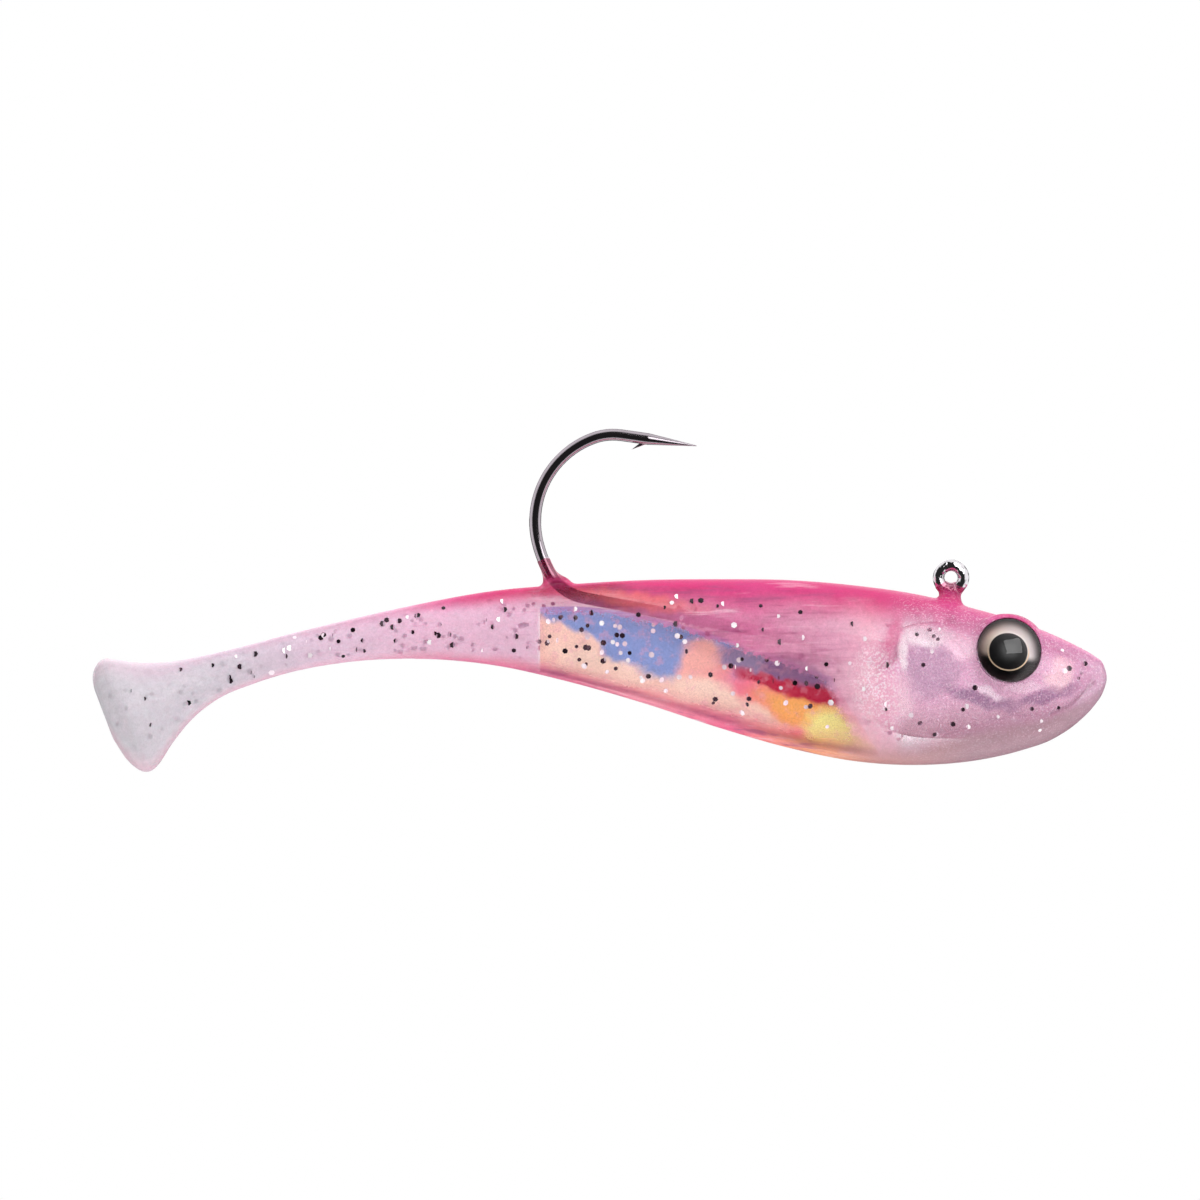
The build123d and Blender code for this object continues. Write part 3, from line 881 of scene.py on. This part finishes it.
def holographic_foil():
    """Film whose colours stay at fixed places seen from the side, with painted shade on its cut
    edge.
    """
    material, tree, shader = new_material("holographic_foil")
    place = millimetres(tree)
    flat = side_place(tree, side_place(tree, place, 2.2, 0.30), 0.8, 1.1)
    colour = patchwork(tree, flat, BLUE, FOIL_PATCHES)
    bloom = fade(tree, noise(tree, place, 0.8, 4.0, 0.7), 0.50, 0.68)
    colour = mix_colour(tree, times(tree, bloom, 0.35), colour, BLOOM)
    sparkle = noise(tree, place, 7.0, 2.0, 0.7)
    colour = brightened(tree, colour, linear(tree, sparkle, 0.9, 0.59))
    # Painted shade on the cut edge.
    sideways = size_of(tree, split(tree, add_node(tree, "NewGeometry").outputs["Normal"])[1])
    colour = mix_colour(tree, fade(tree, sideways, 0.85, 0.5), colour, CUT_EDGE_SHADE)
    set_inputs(
        tree, shader, Base_Color=colour, Metallic=0.1, Specular_IOR_Level=0.25,
        Roughness=linear(tree, sparkle, 0.3, 0.3),
        Normal=bump(tree, noise(tree, place, 3.0, 2.0), 0.00006, 0.5),
    )
    return material


PEARL_LOW, PEARL_HIGH = srgb(200, 158, 172), srgb(232, 184, 212)
PEARL_LIGHT, PEARL_DARK = srgb(255, 244, 250), srgb(120, 84, 120)
# Painted highlights and shades on the lead's gill cover and cheek, as for the foil.
PEARL_HIGHLIGHTS_AND_SHADES = [
    ((-2.0, -9.1), (2.9, 2.9), 15, 0.35, srgb(190, 154, 182)),
    ((-6.2, -12.4), (2.4, 2.4), -20, 0.5, srgb(246, 214, 226)),
    ((1.2, -6.6), (1.9, 1.5), -20, 0.45, srgb(255, 226, 240)),
    ((-2.9, -5.6), (2.8, 1.3), -8, 0.35, srgb(255, 255, 255)),
    ((-4.9, -7.4), (0.6, 1.9), 4, 0.40, srgb(255, 255, 255)),
    ((3.0, -12.1), (3.6, 0.8), -16, 0.45, srgb(146, 110, 146)),
    ((9.6, -11.7), (3.3, 0.7), 16, 0.45, srgb(142, 100, 140)),
    ((3.7, -11.4), (1.6, 0.45), -28, 0.40, srgb(255, 240, 250)),
    ((7.4, -10.9), (2.1, 0.45), 4, 0.40, srgb(252, 222, 238)),
    ((10.9, -9.6), (1.2, 1.6), -25, 0.35, srgb(255, 224, 226)),
]


def pearl_lead():
    """Pearl paint, darker towards the bottom, with painted highlights and shades and light and dark
    speckle.
    """
    material, tree, shader = new_material("pearl_lead")
    place = millimetres(tree)
    flat = side_place(tree, place, 2.0, 0.45)
    height = fade(tree, split(tree, flat)[2], -16.0, -10.5)
    base = mix_colour(tree, height, PEARL_LOW, PEARL_HIGH)
    # Painted highlights and shades on the gill cover and cheek.
    colour = patchwork(tree, flat, base, PEARL_HIGHLIGHTS_AND_SHADES)
    speckle = noise(tree, place, 5.5, 2.0, 0.9)
    light = times(tree, fade(tree, speckle, 0.52, 0.70), 0.55)
    dark = times(tree, fade(tree, speckle, 0.48, 0.30), 0.35)
    colour = mix_colour(tree, dark, mix_colour(tree, light, colour, PEARL_LIGHT), PEARL_DARK)
    set_inputs(
        tree, shader, Base_Color=colour, Roughness=linear(tree, speckle, 0.3, 0.22),
        Coat_Weight=0.35, Coat_Roughness=0.28, Normal=bump(tree, speckle, 0.00006, 0.5),
    )
    return material


# Where the ring's bright nickel starts, and where the bend's root is darkened: (0 at, 1 at).
RING_X, RING_Z = (-4.0, -2.5), (-6.0, -4.0)
ROOT_X, ROOT_Z = (-32.5, -35.5), (0.4, -0.3)
NICKEL, ROOT_SHADE = srgb(214, 210, 214), srgb(44, 24, 34)
BLACK_NICKEL = srgb(150, 142, 148), srgb(182, 172, 180)


def hook_steel():
    """Black nickel on the bend and point, and bright nickel on the line-tie ring."""
    material, tree, shader = new_material("hook_steel")
    place = millimetres(tree)
    x, _, z = split(tree, place)
    ring = times(tree, fade(tree, x, *RING_X), fade(tree, z, *RING_Z))
    root = times(tree, fade(tree, z, *ROOT_Z), fade(tree, x, *ROOT_X))
    black = mix_colour(tree, noise(tree, place, 1.2, 4.0), *BLACK_NICKEL)
    colour = mix_colour(tree, ring, mix_colour(tree, root, black, ROOT_SHADE), NICKEL)
    scratch = noise(tree, place, 6.0, 3.0)
    rounded = add_node(tree, "Bevel", {"Radius": 0.00025}, samples=8).outputs[0]
    dents = times(tree, noise(tree, place, 1.1, 1.0), ring)
    uneven = bump(tree, dents, 0.00035, 1.0, Normal=rounded)
    set_inputs(
        tree, shader, Base_Color=colour, Metallic=1.0, Roughness=linear(tree, scratch, 0.08, 0.06),
        Normal=bump(tree, scratch, 0.00001, 0.2, Normal=uneven),
    )
    return material


# ---- Eyes and glitter ----
def adhesive_foam():
    material, tree, shader = new_material("adhesive_foam")
    values = {"Vector": millimetres(tree), "Scale": 7.0}
    cells = add_node(tree, "TexVoronoi", values).outputs["Distance"]
    colour = mix_colour(tree, cells, srgb(150, 110, 130), srgb(200, 170, 185))
    normal = bump(tree, cells, 0.00005, 0.5)
    set_inputs(tree, shader, Base_Color=colour, Roughness=0.8, Normal=normal)
    return material


PUPIL_SIZE = (2.04, 1.92)
# The iris's upper half, from its rear edge to its front edge: place, 8-bit colour.
IRIS_STOPS = [
    (-3.3, 150, 130, 124), (-1.8, 206, 190, 180), (0.4, 232, 226, 228),
    (2.2, 255, 255, 255), (3.3, 230, 226, 236),
]
IRIS_LOW, IRIS_FIBRE, IRIS_RIM = srgb(12, 9, 9), srgb(255, 236, 200), srgb(52, 38, 38)
PUPIL, PUPIL_OUTLINE = srgb(10, 9, 11), srgb(246, 218, 184)


def flat_length(tree, x, y):
    return length_of(tree, add_node(tree, "CombineXYZ", {0: x, 1: y}).outputs[0])


def printed_eye(hand):
    """A silver iris, dark below, with a dark rim and a black pupil in a cream outline."""
    material, tree, shader = new_material("printed_disc_" + ("left" if hand > 0 else "right"))
    local = attribute(tree, "seat_place", "Vector")
    across, up, _ = split(tree, local)
    across = times(tree, across, -hand)
    pupil_reach = flat_length(
        tree, calc(tree, "DIVIDE", across, PUPIL_SIZE[0]), calc(tree, "DIVIDE", up, PUPIL_SIZE[1])
    )
    upper, _ = ramp(tree, across, -EYE_R, EYE_R, IRIS_STOPS)
    shade = fade(tree, plus(tree, up, times(tree, across, 0.12)), -1.0, -0.15)
    iris = mix_colour(tree, shade, IRIS_LOW, upper)
    fibres = times(tree, noise(tree, local, 2.6, 4.0, 0.7), shade, 0.35)
    iris = mix_colour(tree, fibres, iris, IRIS_FIBRE)
    rim = fade(tree, flat_length(tree, across, up), 2.35, EYE_R)
    colour = mix_colour(tree, rim, iris, IRIS_RIM)
    inner = fade(tree, pupil_reach, 0.98, 1.0)
    outline = minus(tree, inner, fade(tree, pupil_reach, 1.04, 1.08))
    outline = times(tree, outline, fade(tree, up, 1.2, -0.9))
    colour = mix_colour(tree, outline, colour, PUPIL_OUTLINE)
    off_pupil = fade(tree, pupil_reach, 0.95, 0.98)
    colour = mix_colour(tree, minus(tree, 1.0, off_pupil), colour, PUPIL)
    metallic = times(tree, off_pupil, 0.4)
    set_inputs(tree, shader, Base_Color=colour, Metallic=metallic, Roughness=0.35)
    return material


def clear_dome():
    """Thin clear gloss over the printed eye: what it doesn't mirror passes straight through."""
    material, tree, shader = new_material("clear_dome")
    tree.nodes.remove(shader)
    ripple = bump(tree, noise(tree, millimetres(tree), 0.5), 0.00002, 0.2)
    mirror = add_node(tree, "BsdfGlossy", {"Roughness": 0.02, "Normal": ripple})
    clear = add_node(tree, "BsdfTransparent")
    gloss = add_node(tree, "Fresnel", {"IOR": 1.5, "Normal": ripple})
    set_surface(tree, gloss.outputs[0], clear, mirror)
    return material


def glitter(name, dark, light, metallic):
    material, tree, shader = new_material(name)
    shade = noise(tree, rest_place(tree), 0.9, 2.0)
    colour = mix_colour(tree, fade(tree, shade, 0.3, 0.7), dark, light)
    roughness = linear(tree, shade, 0.2, 0.15)
    set_inputs(tree, shader, Base_Color=colour, Metallic=metallic, Roughness=roughness)
    return material


# ---- Glitter ----
FLAKE_R, FLAKE_T = 0.30, 0.03
FLAKE_SIZES = (0.65, 1.1)       # smallest and largest, as shares of FLAKE_R
ON_SURFACE = 0.45               # share of the flakes that lie on the surface
DEPTHS = (0.86, 0.985)          # where the others lie, as shares of the way out
FLANK_TURN = 0.85               # flakes keep off the back and the belly beyond this turn
EYE_KEEP_OFF = 4.6
# x from, x to, tries on each side, share of dark ones
GLITTER_BANDS = [
    (-84.0, -71.0, 17, 0.8), (-71.0, -56.0, 24, 0.65), (-56.0, -41.0, 44, 0.7),
    (-41.0, -20.0, 96, 0.5), (-20.0, -6.0, 62, 0.5), (-6.0, 14.0, 44, 0.45),
]


def flake(centre, normal, radius, spin, lean):
    """A hexagonal flake facing along a normal, leaned off it."""
    facing = Vector(normal).to_track_quat("Z", "X").to_matrix().to_4x4()
    turn = Matrix.Rotation(lean, 4, "X") @ Matrix.Rotation(spin, 4, "Z")
    place = Matrix.Translation(Vector(centre)) @ facing @ turn
    half = FLAKE_T / 2
    profile = [(0.001, -half), (radius, -half), (radius, half), (0.001, half)]
    return rings_to_mesh(placed(revolve(profile, 6), place))


def scatter_glitter():
    """Flakes as {(skin piece index, dark): [meshes]}, the same on each run."""
    dice = random.Random(7)
    rows = interpolated_rows()
    cuts, _ = tail_cuts()
    found = {}
    for low, high, count, dark_share in GLITTER_BANDS:
        for _ in range(count * 2):
            row = row_at(rows, dice.uniform(low, high))
            turn = dice.uniform(-FLANK_TURN, FLANK_TURN) + dice.choice((0, math.pi))
            share = 1.0 if dice.random() < ON_SURFACE else dice.uniform(*DEPTHS)
            at = section_point(row, turn, share)
            from_eye = math.hypot(at[0] - EYE_SEAT[0], at[2] - EYE_SEAT[2])
            if abs(at[1]) > 1 and from_eye < EYE_KEEP_OFF:
                continue
            radial = section_point(row, turn) - section_point(row, turn, 0.0)
            along = section_point(row, turn + 0.05) - section_point(row, turn - 0.05)
            normal = np.cross(np.cross(along, radial), along)
            spin, lean = dice.uniform(0, 1), dice.gauss(0, 0.35 if share == 1.0 else 0.6)
            piece = sum(at[0] < x for x in cuts)
            key = (piece, dice.random() < dark_share)
            radius = FLAKE_R * dice.uniform(*FLAKE_SIZES)
            found.setdefault(key, []).append(flake(at, normal, radius, spin, lean))
    return found


# ---- Pieces ----
def off_foil(co):
    """How far points lie above the foil or ahead of it, seen from the side."""
    edge_x, edge_z = zip(*FOIL_TOP)
    above = co[:, 2] - np.interp(co[:, 0], edge_x, edge_z)
    top, foot = np.array(FOIL_TOP[-1]), np.array(FOIL_FRONT_FOOT)
    run = (foot - top) / np.linalg.norm(foot - top)
    ahead = (co[:, 2] - top[1]) * run[0] - (co[:, 0] - top[0]) * run[1]
    return np.where(co[:, 0] > edge_x[-1], ahead, np.maximum(above, ahead))


def put_rest(mesh):
    """Keeps, for the materials, what is known of each point at rest."""
    co = vertex_array(mesh)
    top, bottom = outline_at(co[:, 0], interpolated_rows())
    half_height = np.maximum((top - bottom) / 2, 0.1)
    put_number(mesh, "rise", (co[:, 2] - (top + bottom) / 2) / half_height)
    put_number(mesh, "off_foil", off_foil(co))
    put_number(mesh, "mouth", line_bump(co, MOUTH, MOUTH_SHADE_W))
    put_vector(mesh, "rest", co)


def make_skin(material):
    places = []
    for name, mesh, normals, front, rear, hinge_x in skin_pieces():
        put_rest(mesh)
        mesh.normals_split_custom_set_from_vertices([tuple(n) for n in normals])
        obj = add_object(name, mesh)
        dress(obj, material)
        bend_between(obj, front, rear, hinge_x)
        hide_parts(*SKIN_NODES[name])
        places.append((front, rear, hinge_x))
    return places


def make_glitter(places):
    dark = glitter("glitter_dark", srgb(24, 16, 22), srgb(66, 44, 58), 0.4)
    light = glitter("glitter_silver", srgb(236, 214, 226), srgb(255, 250, 252), 0.2)
    for (piece, is_dark), flakes in sorted(scatter_glitter().items()):
        points, faces = join_meshes(flakes)
        mesh = mesh_of(points, faces)
        put_rest(mesh)
        obj = add_object(f"glitter_{'dark' if is_dark else 'silver'}_{piece + 1}", mesh)
        dress(obj, dark if is_dark else light)
        bend_between(obj, *places[piece])


def make_lead_head():
    mesh = frame["nodes"]["lead_head"].data.copy()
    mesh.transform(Matrix.Scale(1 / MM, 4))
    mesh.materials.clear()
    mesh = through_modifiers(
        mesh, ("REMESH", {"mode": "VOXEL", "voxel_size": LEAD_VOXEL}),
        ("SMOOTH", {"factor": 0.5, "iterations": LEAD_SMOOTHING}),
    )
    press_line(mesh, GILL, GILL_DEPTH, GILL_W, (0.2, 0.6))
    shade_smooth(mesh)
    obj = add_object("lead_head_painted", mesh)
    dress(obj, pearl_lead())
    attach(obj, "torso")
    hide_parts("lead_head")


def disc_profile():
    foot, top = PAD_T, PAD_T + DISC_T
    return [(0.005, foot), (EYE_R - 0.05, foot), (EYE_R, foot + 0.04), (EYE_R, top), (0.005, top)]


def dome_profile(steps=20):
    """Skirt and spherical cap of the lens."""
    skirt_foot = PAD_T + DISC_T
    skirt_top = skirt_foot + SKIRT_T
    ball_r = (EYE_R**2 + DOME_H**2) / (2 * DOME_H)
    edge = math.asin(EYE_R / ball_r)
    profile = [(EYE_R, skirt_foot), (EYE_R, skirt_top - 0.1)]
    for k in range(steps):
        turn = edge * (1 - k / steps)
        height = skirt_top + DOME_H - ball_r * (1 - math.cos(turn))
        profile.append((ball_r * math.sin(turn), height))
    profile.append((0.005, skirt_top + DOME_H))
    return profile


def make_eye(hand, dome_material):
    side = "left" if hand > 0 else "right"
    shapes = (
        ("disc", disc_profile(), printed_eye(hand), "printed_disc"),
        ("lens", dome_profile(), dome_material, "clear_dome"),
    )
    for label, profile, material, slot_name in shapes:
        points, faces = rings_to_mesh(revolve(profile, 72))
        if label == "lens":
            faces = faces[1:]  # open underneath
        mesh = mesh_of(points, faces)
        put_vector(mesh, "seat_place", points)
        shade_smooth(mesh)
        mesh.transform(eye_matrix(hand))
        obj = add_object(f"{side}_eye_{label}_shown", mesh)
        dress(obj, material)
        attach(obj, "torso")
        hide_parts(f"{side}_eye_{label}")


def dress_cad_nodes():
    finishes = {
        "jig_hook": hook_steel(), "foil_insert": holographic_foil(),
        "left_eye_pad": adhesive_foam(), "right_eye_pad": adhesive_foam(),
    }
    for name, material in finishes.items():
        node = frame["nodes"][name]
        if not node.material_slots:
            node.data.materials.append(material)
        for held in node.material_slots:
            held.material = material


# ---- Studio ----
VIEW_WIDTH, VIEW_DISTANCE = 0.120, 0.6
VIEW_CENTRE = (-0.0351, -0.00225)
FLOOR_HALF, FLOOR_Z = 3.0, -0.066
FLOOR_GREY = (0.86, 0.86, 0.86, 1)
# Softboxes: name, place, size, power, and whether metal mirrors it. All face LIGHT_AIM.
LIGHT_AIM = (-0.035, 0, -0.008)
SOFTBOXES = [
    ("top_box", (-0.02, -0.18, 0.42), (0.45, 0.30), 1.4, False),
    ("front_box", (0.26, -0.44, 0.26), (0.42, 0.36), 1.55, True),
    ("back_box", (-0.05, 0.40, 0.15), (0.5, 0.3), 0.7, True),
]


def add_camera():
    data = bpy.data.cameras.new("camera")
    data.type = "ORTHO"
    data.ortho_scale = VIEW_WIDTH
    camera = in_scene("camera", data)
    camera.location = (VIEW_CENTRE[0], -VIEW_DISTANCE, VIEW_CENTRE[1])
    camera.rotation_euler = (math.radians(90), 0, 0)
    bpy.context.scene.camera = camera


def add_floor():
    """A pale floor, which mirror reflections don't show."""
    half = FLOOR_HALF
    corners = [(-half, -half, 0), (half, -half, 0), (half, half, 0), (-half, half, 0)]
    floor = add_object("floor", mesh_of(corners, [(0, 1, 2, 3)]), 1.0)
    floor.location.z = FLOOR_Z
    material, tree, shader = new_material("floor_paper")
    set_inputs(tree, shader, Base_Color=FLOOR_GREY, Roughness=0.9)
    dress(floor, material)
    floor.visible_glossy = False
    floor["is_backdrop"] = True


def add_softbox(name, place, size, power, mirrored):
    data = bpy.data.lights.new(name, "AREA")
    data.shape = "RECTANGLE"
    data.size, data.size_y = size
    data.energy = power
    light = in_scene(name, data)
    light.location = place
    facing = Vector(LIGHT_AIM) - Vector(place)
    light.rotation_euler = facing.to_track_quat("-Z", "Y").to_euler()
    light.visible_camera = False
    light.visible_glossy = mirrored


def tent_light(tree, y, z):
    """Light that falls on the bait: brighter from above, and dark only in front."""
    opening = fade(tree, times(tree, y, -1.0), 0.40, 0.66)
    wall = mix_number(tree, fade(tree, z, -0.6, 0.5), 0.40, 0.95)
    return mix_number(tree, opening, wall, 0.04)


def mirrored_light(tree, y):
    """What metal and gloss mirror: bright at the sides, and dark in front and straight behind."""
    band = times(tree, fade(tree, y, -0.62, -0.30), fade(tree, y, 0.78, 0.42))
    return linear(tree, band, 1.25, 0.03)


def add_studio():
    """A white tent with softboxes. To the camera the tent is plain white."""
    world = bpy.data.worlds.new("tent")
    bpy.context.scene.world = world
    world.use_nodes = True
    tree = world.node_tree
    _, y, z = split(tree, add_node(tree, "TexCoord").outputs["Generated"])
    path = add_node(tree, "LightPath").outputs
    light = mix_number(tree, path["Is Glossy Ray"], tent_light(tree, y, z), mirrored_light(tree, y))
    light = mix_number(tree, path["Is Camera Ray"], light, 1.0)
    background = tree.nodes["Background"]
    feed(tree, background.inputs["Strength"], light)
    background.inputs["Color"].default_value = (1, 1, 1, 1)
    for softbox in SOFTBOXES:
        add_softbox(*softbox)


def main():
    places = make_skin(soft_plastic())
    make_glitter(places)
    make_lead_head()
    dome = clear_dome()
    for hand in (1, -1):
        make_eye(hand, dome)
    dress_cad_nodes()
    add_camera()
    add_floor()
    add_studio()
    bpy.context.scene.view_settings.view_transform = "Standard"


main()
boxes = {"cad": cad_box, "visual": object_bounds()}
{name: [list(corner) for corner in box] for name, box in boxes.items()}
